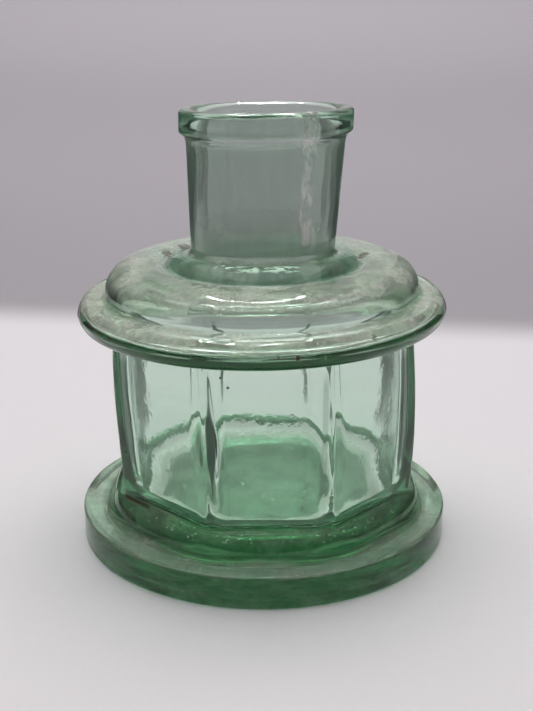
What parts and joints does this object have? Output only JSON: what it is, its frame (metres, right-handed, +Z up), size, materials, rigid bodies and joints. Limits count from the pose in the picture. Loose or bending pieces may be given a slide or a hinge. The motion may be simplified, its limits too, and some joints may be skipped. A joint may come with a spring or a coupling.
{
  "type": "ink bottle",
  "caption": "Small moulded glass ink bottle: round base plate, panelled body, rolled shoulder and a short flared neck with an open collared mouth.",
  "frame": {"origin": "middle of the plane that the base plate rests on", "axes": "+Z up along the bottle towards its mouth, -Y out of the front panel, +X to the right of that panel"},
  "size_m": [0.057, 0.057, 0.0657],
  "materials": {
    "aqua_glass": "clear aqua-green moulded glass with a fire-polished, slightly wavy surface"
  },
  "bodies": {
    "root": {"glass_bottle": "aqua_glass"}
  },
  "joints": []
}
